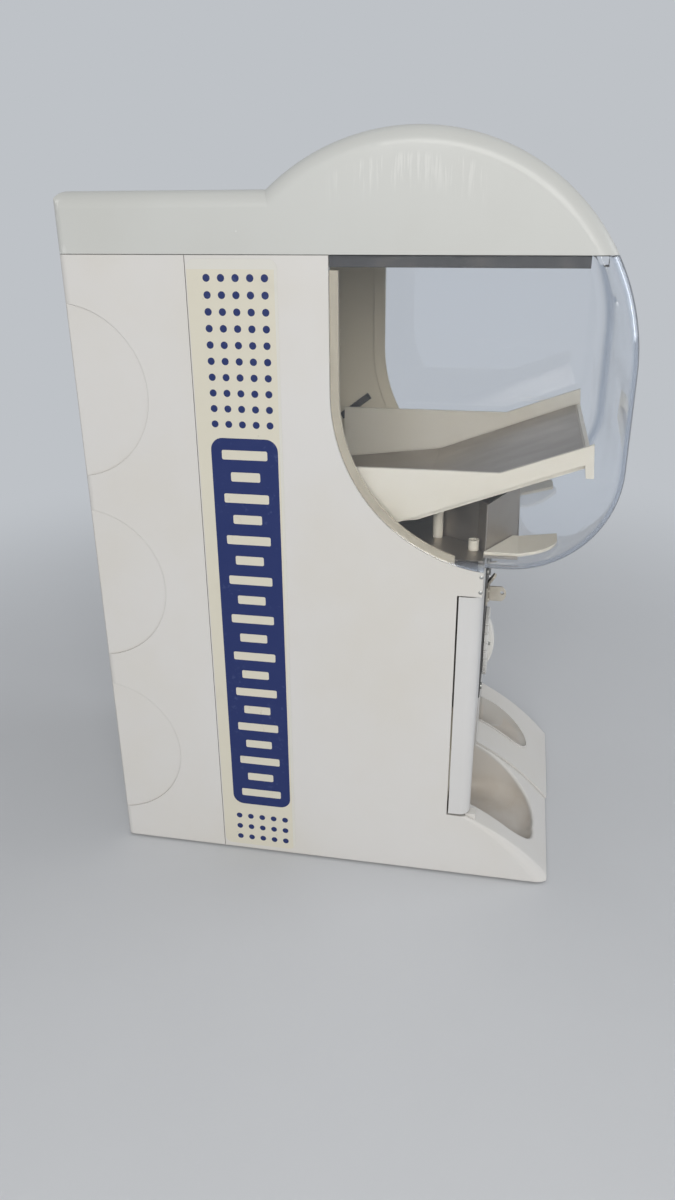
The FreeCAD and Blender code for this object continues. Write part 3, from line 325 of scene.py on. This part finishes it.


# Clear window: bends light as the real one does, a faint blue in its depth, a pale rim of painted sheen where
# it bends round, fine scratches
coverLook = {
    "tint": (0.985, 0.99, 1.0, 1.0), "bend": 1.49, "shadowTint": (0.93, 0.94, 0.95, 1.0),
    "depthColour": (0.5, 0.66, 0.86, 1.0), "depthDensity": 22.0,
    "rimSheenColour": paint(206, 213, 224), "rimWide": 8 * mm, "rimCore": 0.3, "rimSheenShare": 0.14,
    "rimSide": 98 * mm, "rimSideFade": 8 * mm,
    "dome": (-47.5 * mm, 417.5 * mm, 149.5 * mm), "nose": (-121 * mm, 352 * mm, 76 * mm),
    "clean": 0.015, "hazeScale": 26, "hazeRange": (0.45, 0.8), "hazeMost": 0.05,
    "scratched": 0.22, "scratchDepth": 0.012 * mm,
    "levelScale": 200, "levelTurn": 0.1, "levelWidth": 0.02, "levelCover": 0.6, "levelElsewhere": 0.06,
    "wornLow": (394 * mm, 401 * mm), "wornHigh": (415 * mm, 408 * mm), "wornFront": (-60 * mm, -95 * mm),
    "slanted": ((300, -0.6), (280, 0.9)), "slantWidth": 0.012, "slantCover": 0.4, "slantShare": 0.4,
}


def rimDepth(tree, arc, upward):
    # depth behind the cover's front line: an arc on one side of its centre, straight on the other
    _, along, up = axes(tree)
    centreY, centreZ, radius = arc
    rise = maths(tree, "MAXIMUM", times(tree, maths(tree, "SUBTRACT", up, centreZ), upward), 0.0)
    reach = maths(tree, "MINIMUM", maths(tree, "SUBTRACT", along, centreY), 0.0)
    span = maths(tree, "ADD", maths(tree, "POWER", reach, 2.0), maths(tree, "POWER", rise, 2.0))
    return maths(tree, "SUBTRACT", radius, maths(tree, "SQRT", span))


def coverRimSheen(tree):
    # painted sheen mask: a band along the cover's curved front edge, on its sides
    edge = maths(tree, "MINIMUM", rimDepth(tree, coverLook["dome"], 1.0),
                 rimDepth(tree, coverLook["nose"], -1.0))
    half = maths(tree, "ABSOLUTE", axes(tree)[0])
    wide, side = coverLook["rimWide"], coverLook["rimSide"]
    return times(tree, between(tree, edge, wide, coverLook["rimCore"] * wide),
                 between(tree, half, side, side + coverLook["rimSideFade"]))


def coverScratches(tree):
    _, along, up = axes(tree)
    worn = times(tree, between(tree, up, *coverLook["wornLow"]), between(tree, up, *coverLook["wornHigh"]),
                 between(tree, along, *coverLook["wornFront"]))
    level = scratches(tree, coverLook["levelScale"], (coverLook["levelTurn"], 0, 0),
                      coverLook["levelWidth"], coverLook["levelCover"])
    lines = [times(tree, level, between(tree, worn, 0.0, 1.0, coverLook["levelElsewhere"], 1.0))]
    for scale, turn in coverLook["slanted"]:
        slant = scratches(tree, scale, (turn, 0, 0), coverLook["slantWidth"], coverLook["slantCover"])
        lines.append(times(tree, slant, coverLook["slantShare"]))
    return most(tree, *lines)


def clearCover():
    material, tree, shader = newMaterial("clearCover")
    rim = coverRimSheen(tree)
    # painted sheen: along the cover's bend the colour turns pale and less light passes
    feed(tree, shader.inputs["Base Color"], mixed(tree, rim, coverLook["tint"], coverLook["rimSheenColour"]))
    feed(tree, shader.inputs["Transmission Weight"],
         maths(tree, "SUBTRACT", 1.0, times(tree, rim, coverLook["rimSheenShare"])))
    shader.inputs["IOR"].default_value = coverLook["bend"]
    lines = coverScratches(tree)
    haze = between(tree, noise(tree, coverLook["hazeScale"], 4.0), *coverLook["hazeRange"],
                   0.0, coverLook["hazeMost"])
    rough = maths(tree, "ADD", haze, coverLook["clean"])
    rough = maths(tree, "ADD", rough, times(tree, lines, coverLook["scratched"]))
    feed(tree, shader.inputs["Roughness"], rough)
    feed(tree, shader.inputs["Normal"], bumped(tree, times(tree, lines, -1.0), coverLook["scratchDepth"]))
    lampsPass = addNode(tree, "BsdfTransparent", {"Color": coverLook["shadowTint"]})
    toLamp = addNode(tree, "LightPath").outputs["Is Shadow Ray"]
    both = addNode(tree, "MixShader", {0: toLamp, 1: shader.outputs[0], 2: lampsPass.outputs[0]})
    output = tree.nodes["Material Output"]
    feed(tree, output.inputs["Surface"], both.outputs[0])
    depth = addNode(tree, "VolumeAbsorption",
                    {"Color": coverLook["depthColour"], "Density": coverLook["depthDensity"]})
    feed(tree, output.inputs["Volume"], depth.outputs[0])
    return material


dress(clearCover(), "window_cover")


# Metals: satin sheet, dark plate, zinc, chrome and brass
sheetLook = {
    "colour": paint(166, 158, 148), "dull": paint(150, 141, 130),
    "cloudScale": 5.0, "cloudRange": (0.35, 0.7),
    "grimeAndShade": paint(82, 74, 64), "shadeReach": 4 * mm, "shadeShare": 0.45,
    "grainScale": 60.0, "grainStretch": (1, 0.03, 1), "grainDepth": 0.0015 * mm,
    "rough": 0.42, "roughSwing": 0.05, "brushed": 0.3, "edge": 0.3 * mm,
    "lines": 0.05, "lineScale": 240, "lineTurn": (0.7, 0.4, 0), "lineWidth": 0.014, "lineCover": 0.5,
}
plateLook = dict(sheetLook, colour=paint(104, 103, 102), dull=paint(88, 86, 84), rough=0.46)
zincLook = dict(sheetLook, colour=paint(186, 187, 184), dull=paint(162, 162, 156), cloudScale=60.0,
                grainScale=140.0, grainStretch=(1, 1, 1), grainDepth=0.004 * mm, rough=0.36, brushed=0.0,
                lines=0.15)
lugLook = dict(zincLook, colour=paint(214, 208, 196), dull=paint(196, 188, 174), rough=0.55)
chromeLook = dict(zincLook, colour=paint(206, 207, 208), dull=paint(186, 186, 186), rough=0.14)
brassLook = dict(zincLook, colour=paint(198, 168, 104), dull=paint(160, 128, 70), rough=0.3)


def metal(name, look):
    material, tree, shader = newMaterial(name)
    shader.inputs["Metallic"].default_value = 1.0
    shader.inputs["Anisotropic"].default_value = look["brushed"]
    grain = noise(tree, look["grainScale"], 3.0, 0.6, look["grainStretch"])
    cloud = noise(tree, look["cloudScale"], 4.0)
    colour = mixed(tree, between(tree, cloud, *look["cloudRange"]), look["colour"], look["dull"])
    # painted shade tinted as grime: seams and corners darkened by ambient occlusion
    shadeAndGrime = times(tree, creviceShade(tree, look["shadeReach"]), look["shadeShare"])
    feed(tree, shader.inputs["Base Color"], mixed(tree, shadeAndGrime, colour, look["grimeAndShade"]))
    rough = between(tree, grain, *noiseMiddle, *swing(look))
    lines = scratches(tree, look["lineScale"], look["lineTurn"], look["lineWidth"], look["lineCover"])
    feed(tree, shader.inputs["Roughness"], maths(tree, "ADD", rough, times(tree, lines, look["lines"])))
    feed(tree, shader.inputs["Normal"], bumped(tree, grain, look["grainDepth"], look["edge"]))
    return material


dress(metal("steelSheet", sheetLook), "slope_liner", "display_board", "display_tray")
dress(metal("darkPlate", plateLook), "mech_plate")
dress(metal("dullZinc", lugLook), "return_lever", "seal_lug")
dress(metal("zincSteel", zincLook), "base_plate", "mech_frame", "drive_bracket", "lid_keeper", "door_strike",
      "coin_box", "return_chute", "coin_guide", "dial_shaft", "rotor_shaft", "pawl_pin", "lever_pin",
      "door_hinge_pins", "base_screws", "mech_screws", "rail_screws", "pawl_spring", "lever_spring",
      "ratchet_wheel", "ratchet_pawl", "door_lock_cam", "lid_lock_cam")
dress(metal("lockChrome", chromeLook), "door_lock", "lid_lock")
dress(metal("bushBrass", brassLook), "shaft_bushes", "rotor_bushes", "coin_wheel")


# Black rubber and trim: dusty, with a fine grain; on lid_seal the black is painted shade under the cap's lip
trimLook = {"black": paint(38, 37, 38), "dusty": paint(72, 69, 66),
            "dustScale": 60, "dustRange": (0.45, 0.75),
            "rough": (0.42, 0.7), "grainScale": 900, "grainDepth": 0.03 * mm, "edge": 0.3 * mm}


def darkTrim():
    material, tree, shader = newMaterial("darkTrim")
    dust = between(tree, noise(tree, trimLook["dustScale"], 5.0), *trimLook["dustRange"])
    feed(tree, shader.inputs["Base Color"], mixed(tree, dust, trimLook["black"], trimLook["dusty"]))
    feed(tree, shader.inputs["Roughness"], between(tree, dust, 0.0, 1.0, *trimLook["rough"]))
    grain = noise(tree, trimLook["grainScale"], 2.0)
    feed(tree, shader.inputs["Normal"], bumped(tree, grain, trimLook["grainDepth"], trimLook["edge"]))
    return material


# lid_seal takes the black trim as painted shade along the band under the cap's lip
dress(darkTrim(), "lid_seal", "cover_clips", "wall_strip", "rubber_feet")
print("clear, metal and dark finishes done")


# Sticker film: cream, paler past the printed area, with dirt caught at its edges
stickerLook = {
    "cream": paint(221, 216, 199), "film": paint(221, 219, 211),
    "printTop": 482.5 * mm, "printFront": 43.5 * mm,
    "stain": paint(150, 144, 134), "stainInside": 0.2, "stainAtRim": 0.4,
    "rearRim": (99 * mm, 104.5 * mm), "topRim": (470 * mm, 489 * mm),
    "speckScale": 60, "speckSize": 1.1 * mm, "speckCount": 0.12,
    "smudgeScale": 18, "smudgeRange": (0.6, 0.8), "smudgeShare": 0.5,
    "roughScale": 40, "rough": (0.34, 0.5), "waveScale": 160, "waveDepth": 0.02 * mm,
}


def stickerFilm():
    material, tree, shader = newMaterial("stickerFilm")
    _, along, up = axes(tree)
    printed = times(tree, maths(tree, "LESS_THAN", up, stickerLook["printTop"]),
                    maths(tree, "GREATER_THAN", along, stickerLook["printFront"]))
    colour = mixed(tree, printed, stickerLook["film"], stickerLook["cream"])
    smudges = between(tree, noise(tree, stickerLook["smudgeScale"], 5.0), *stickerLook["smudgeRange"])
    stains = most(tree, specks(tree, stickerLook["speckScale"], stickerLook["speckSize"],
                               stickerLook["speckCount"]),
                  times(tree, smudges, stickerLook["smudgeShare"]))
    rim = most(tree, between(tree, along, *stickerLook["rearRim"]), between(tree, up, *stickerLook["topRim"]))
    strength = maths(tree, "ADD", times(tree, rim, stickerLook["stainAtRim"]), stickerLook["stainInside"])
    feed(tree, shader.inputs["Base Color"],
         mixed(tree, times(tree, stains, strength), colour, stickerLook["stain"]))
    feed(tree, shader.inputs["Roughness"],
         between(tree, noise(tree, stickerLook["roughScale"], 4.0), *noiseMiddle, *stickerLook["rough"]))
    wave = noise(tree, stickerLook["waveScale"], 2.0)
    feed(tree, shader.inputs["Normal"], bumped(tree, wave, stickerLook["waveDepth"]))
    return material


dress(stickerFilm(), "left_sticker", "right_sticker")


# Printed ink: slightly uneven, worn through in places
inkLook = {"blue": paint(20, 40, 100), "blueThin": paint(74, 88, 134), "creamThin": paint(196, 188, 166),
           "wearScale": 220, "wearRange": (0.58, 0.72), "wearShare": 0.55,
           "patchScale": 24, "patchRange": (0.4, 0.65), "roughScale": 90, "rough": (0.34, 0.48)}


def ink(name, colour, thin):
    material, tree, shader = newMaterial(name)
    wear = times(tree, between(tree, noise(tree, inkLook["wearScale"], 4.0), *inkLook["wearRange"]),
                 between(tree, noise(tree, inkLook["patchScale"], 3.0), *inkLook["patchRange"]))
    feed(tree, shader.inputs["Base Color"],
         mixed(tree, times(tree, wear, inkLook["wearShare"]), colour, thin))
    feed(tree, shader.inputs["Roughness"],
         between(tree, noise(tree, inkLook["roughScale"], 3.0), *noiseMiddle, *inkLook["rough"]))
    return material


blueInk = ink("blueInk", inkLook["blue"], inkLook["blueThin"])
creamInk = ink("creamInk", stickerLook["cream"], inkLook["creamThin"])


# Print on both stickers: rows of dots over and under a blue panel with cream bars
printLook = {
    "dot": 2.55 * mm, "columns": 5, "firstY": 90.7 * mm, "pitchY": -10.15 * mm, "pitchZ": -11.0 * mm,
    "topZ": 477 * mm, "topRows": 10, "lowZ": 36 * mm, "lowRows": 3,
    "panelY": 70 * mm, "panelLow": 49 * mm, "panelHigh": 368 * mm, "panelWide": 50 * mm, "panelRound": 9 * mm,
    "barCount": 19, "barHigh": 7 * mm, "barRound": 1.2 * mm, "barWide": (34 * mm, 22 * mm),
    "inkThick": 0.04 * mm,
}


def flatPrint(name, outlines, level, thick, material):
    # closed thin shapes on a side of the casing; level is the signed X they start from
    mesh = bpy.data.meshes.new(name)
    form = bmesh.new()
    lift = math.copysign(thick, level)
    for points in outlines:
        base = [form.verts.new((level, y, z)) for y, z in points]
        top = [form.verts.new((level + lift, y, z)) for y, z in points]
        form.faces.new(base)
        form.faces.new(top[::-1])
        for index in range(len(points)):
            after = (index + 1) % len(points)
            form.faces.new((base[index], top[index], top[after], base[after]))
    bmesh.ops.recalc_face_normals(form, faces=form.faces)
    form.to_mesh(mesh)
    form.free()
    mesh.materials.append(material)
    piece = bpy.data.objects.new(name, mesh)
    bpy.context.scene.collection.objects.link(piece)
    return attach(piece, "cabinet")


def disc(centreY, centreZ, radius, count=28):
    return [(centreY + radius * math.cos(turn), centreZ + radius * math.sin(turn))
            for turn in (2 * math.pi * index / count for index in range(count))]


def roundedBar(centreY, centreZ, width, height, radius, steps=7):
    points = []
    for quarter, (sideY, sideZ) in enumerate(((1, 1), (-1, 1), (-1, -1), (1, -1))):
        cornerY = centreY + sideY * (width / 2 - radius)
        cornerZ = centreZ + sideZ * (height / 2 - radius)
        for step in range(steps + 1):
            turn = math.pi / 2 * (quarter + step / steps)
            points.append((cornerY + radius * math.cos(turn), cornerZ + radius * math.sin(turn)))
    return points


def dotRows(firstZ, rows):
    dots = []
    for row in range(rows):
        for column in range(printLook["columns"]):
            dots.append(disc(printLook["firstY"] + column * printLook["pitchY"],
                             firstZ + row * printLook["pitchZ"], printLook["dot"]))
    return dots


def barColumn():
    room = printLook["panelHigh"] - printLook["panelLow"]
    pitch = room / (printLook["barCount"] + 0.5)
    bars = []
    for index in range(printLook["barCount"]):
        high = printLook["panelHigh"] - (index + 0.75) * pitch
        wide = printLook["barWide"][index % 2]
        bars.append(roundedBar(printLook["panelY"], high, wide, printLook["barHigh"], printLook["barRound"]))
    return bars


def panel():
    low, high = printLook["panelLow"], printLook["panelHigh"]
    return roundedBar(printLook["panelY"], (high + low) / 2, printLook["panelWide"], high - low,
                      printLook["panelRound"])


allDots = dotRows(printLook["topZ"], printLook["topRows"]) + dotRows(printLook["lowZ"], printLook["lowRows"])
for side, sticker in ((-1, "left_sticker"), (1, "right_sticker")):
    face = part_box(sticker)[0].x if side < 0 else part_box(sticker)[1].x
    thick = printLook["inkThick"]
    flatPrint(sticker + "_dots", allDots, face, thick, blueInk)
    flatPrint(sticker + "_panel", [panel()], face, thick, blueInk)
    flatPrint(sticker + "_bars", barColumn(), face + side * thick, thick, creamInk)
print("sticker print done")


# Stage: pale plain floor and backdrop, soft light, camera where the photo was taken from
stageLook = {"floor": paint(216, 218, 221), "floorCloud": paint(211, 213, 216), "floorHalf": 12.0,
             "cloudScale": 3, "cloudShare": 0.5, "floorRough": 0.65,
             "sky": (0.9, 0.92, 0.95, 1.0), "skyStrength": 0.38,
             "backdrop": paint(190, 194, 199), "fadeFrom": 0.35, "fadeTo": 1.15}
lampLook = {
    "keyLamp": {"place": (-1.65, -0.25, 0.95), "size": (1.1, 0.7), "power": 15.5,
                "colour": (1.0, 0.985, 0.96)},
    "topLamp": {"place": (0.1, -0.1, 2.0), "size": (1.4, 1.4), "power": 1.5,
                "colour": (1.0, 1.0, 1.0)},
    "frontLamp": {"place": (0.5, -1.8, 0.9), "size": (1.0, 1.0), "power": 7.0,
                  "colour": (0.96, 0.98, 1.0)},
}
cameraLook = {"place": (-0.7369, -0.1200, 0.5275), "yaw": 11.146, "pitch": 23.896, "roll": -0.499,
              "lens": 27.453, "sensor": 36.0}


def seenPlainly(tree):
    # what the eye, a reflection or a look through the window meets, before any diffuse bounce
    path = addNode(tree, "LightPath")
    seen = most(tree, *(path.outputs[kind] for kind in
                        ("Is Camera Ray", "Is Glossy Ray", "Is Transmission Ray")))
    return times(tree, seen, maths(tree, "LESS_THAN", path.outputs["Diffuse Depth"], 0.5))


def makeFloor():
    half = stageLook["floorHalf"]
    corners = [(-half, -half, 0), (half, -half, 0), (half, half, 0), (-half, half, 0)]
    mesh = bpy.data.meshes.new("floor")
    mesh.from_pydata(corners, [], [(0, 1, 2, 3)])
    floor = bpy.data.objects.new("floor", mesh)
    bpy.context.scene.collection.objects.link(floor)
    material, tree, shader = newMaterial("paleFloor")
    cloud = between(tree, noise(tree, stageLook["cloudScale"], 3.0), *noiseMiddle,
                    0.0, stageLook["cloudShare"])
    feed(tree, shader.inputs["Base Color"], mixed(tree, cloud, stageLook["floor"], stageLook["floorCloud"]))
    shader.inputs["Roughness"].default_value = stageLook["floorRough"]
    place = addNode(tree, "TexCoord").outputs["Object"]
    reach = addNode(tree, "VectorMath", {0: place}, operation="LENGTH").outputs["Value"]
    far = between(tree, reach, stageLook["fadeFrom"], stageLook["fadeTo"])
    glow = addNode(tree, "Emission", {"Color": stageLook["backdrop"], "Strength": 1.0})
    share = times(tree, far, seenPlainly(tree))
    both = addNode(tree, "MixShader", {0: share, 1: shader.outputs[0], 2: glow.outputs[0]})
    feed(tree, tree.nodes["Material Output"].inputs["Surface"], both.outputs[0])
    mesh.materials.append(material)


def makeWorld():
    world = bpy.data.worlds.new("softRoom")
    bpy.context.scene.world = world
    world.use_nodes = True
    tree = world.node_tree
    tree.nodes.clear()
    light = addNode(tree, "Background", {"Color": stageLook["sky"], "Strength": stageLook["skyStrength"]})
    plain = addNode(tree, "Background", {"Color": stageLook["backdrop"], "Strength": 1.0})
    both = addNode(tree, "MixShader", {0: seenPlainly(tree), 1: light.outputs[0], 2: plain.outputs[0]})
    output = addNode(tree, "OutputWorld")
    feed(tree, output.inputs["Surface"], both.outputs[0])


def softLamp(name, look, aim):
    data = bpy.data.lights.new(name, "AREA")
    data.shape = "RECTANGLE"
    data.size, data.size_y = look["size"]
    data.energy = look["power"]
    data.color = look["colour"]
    lamp = bpy.data.objects.new(name, data)
    lamp.location = look["place"]
    lamp.rotation_euler = (aim - Vector(look["place"])).to_track_quat("-Z", "Y").to_euler()
    bpy.context.scene.collection.objects.link(lamp)


def makeCamera():
    yaw, pitch, roll = (math.radians(cameraLook[key]) for key in ("yaw", "pitch", "roll"))
    ahead = Vector((math.cos(yaw) * math.cos(pitch), math.sin(yaw) * math.cos(pitch), -math.sin(pitch)))
    level = Vector((math.sin(yaw), -math.cos(yaw), 0))
    upward = level.cross(ahead)
    right = math.cos(roll) * level + math.sin(roll) * upward
    top = math.cos(roll) * upward - math.sin(roll) * level
    data = bpy.data.cameras.new("photoCamera")
    data.lens = cameraLook["lens"]
    data.sensor_width = cameraLook["sensor"]
    camera = bpy.data.objects.new("photoCamera", data)
    facing = Matrix((right, top, -ahead)).transposed().to_4x4()
    camera.matrix_world = Matrix.Translation(cameraLook["place"]) @ facing
    bpy.context.scene.collection.objects.link(camera)
    bpy.context.scene.camera = camera


makeFloor()
makeWorld()
middleOfBox = (cadBox[0] + cadBox[1]) / 2
for name, look in lampLook.items():
    softLamp(name, look, middleOfBox)
makeCamera()
bpy.context.scene.view_settings.view_transform = "Standard"
print("stage, lamps and camera done")
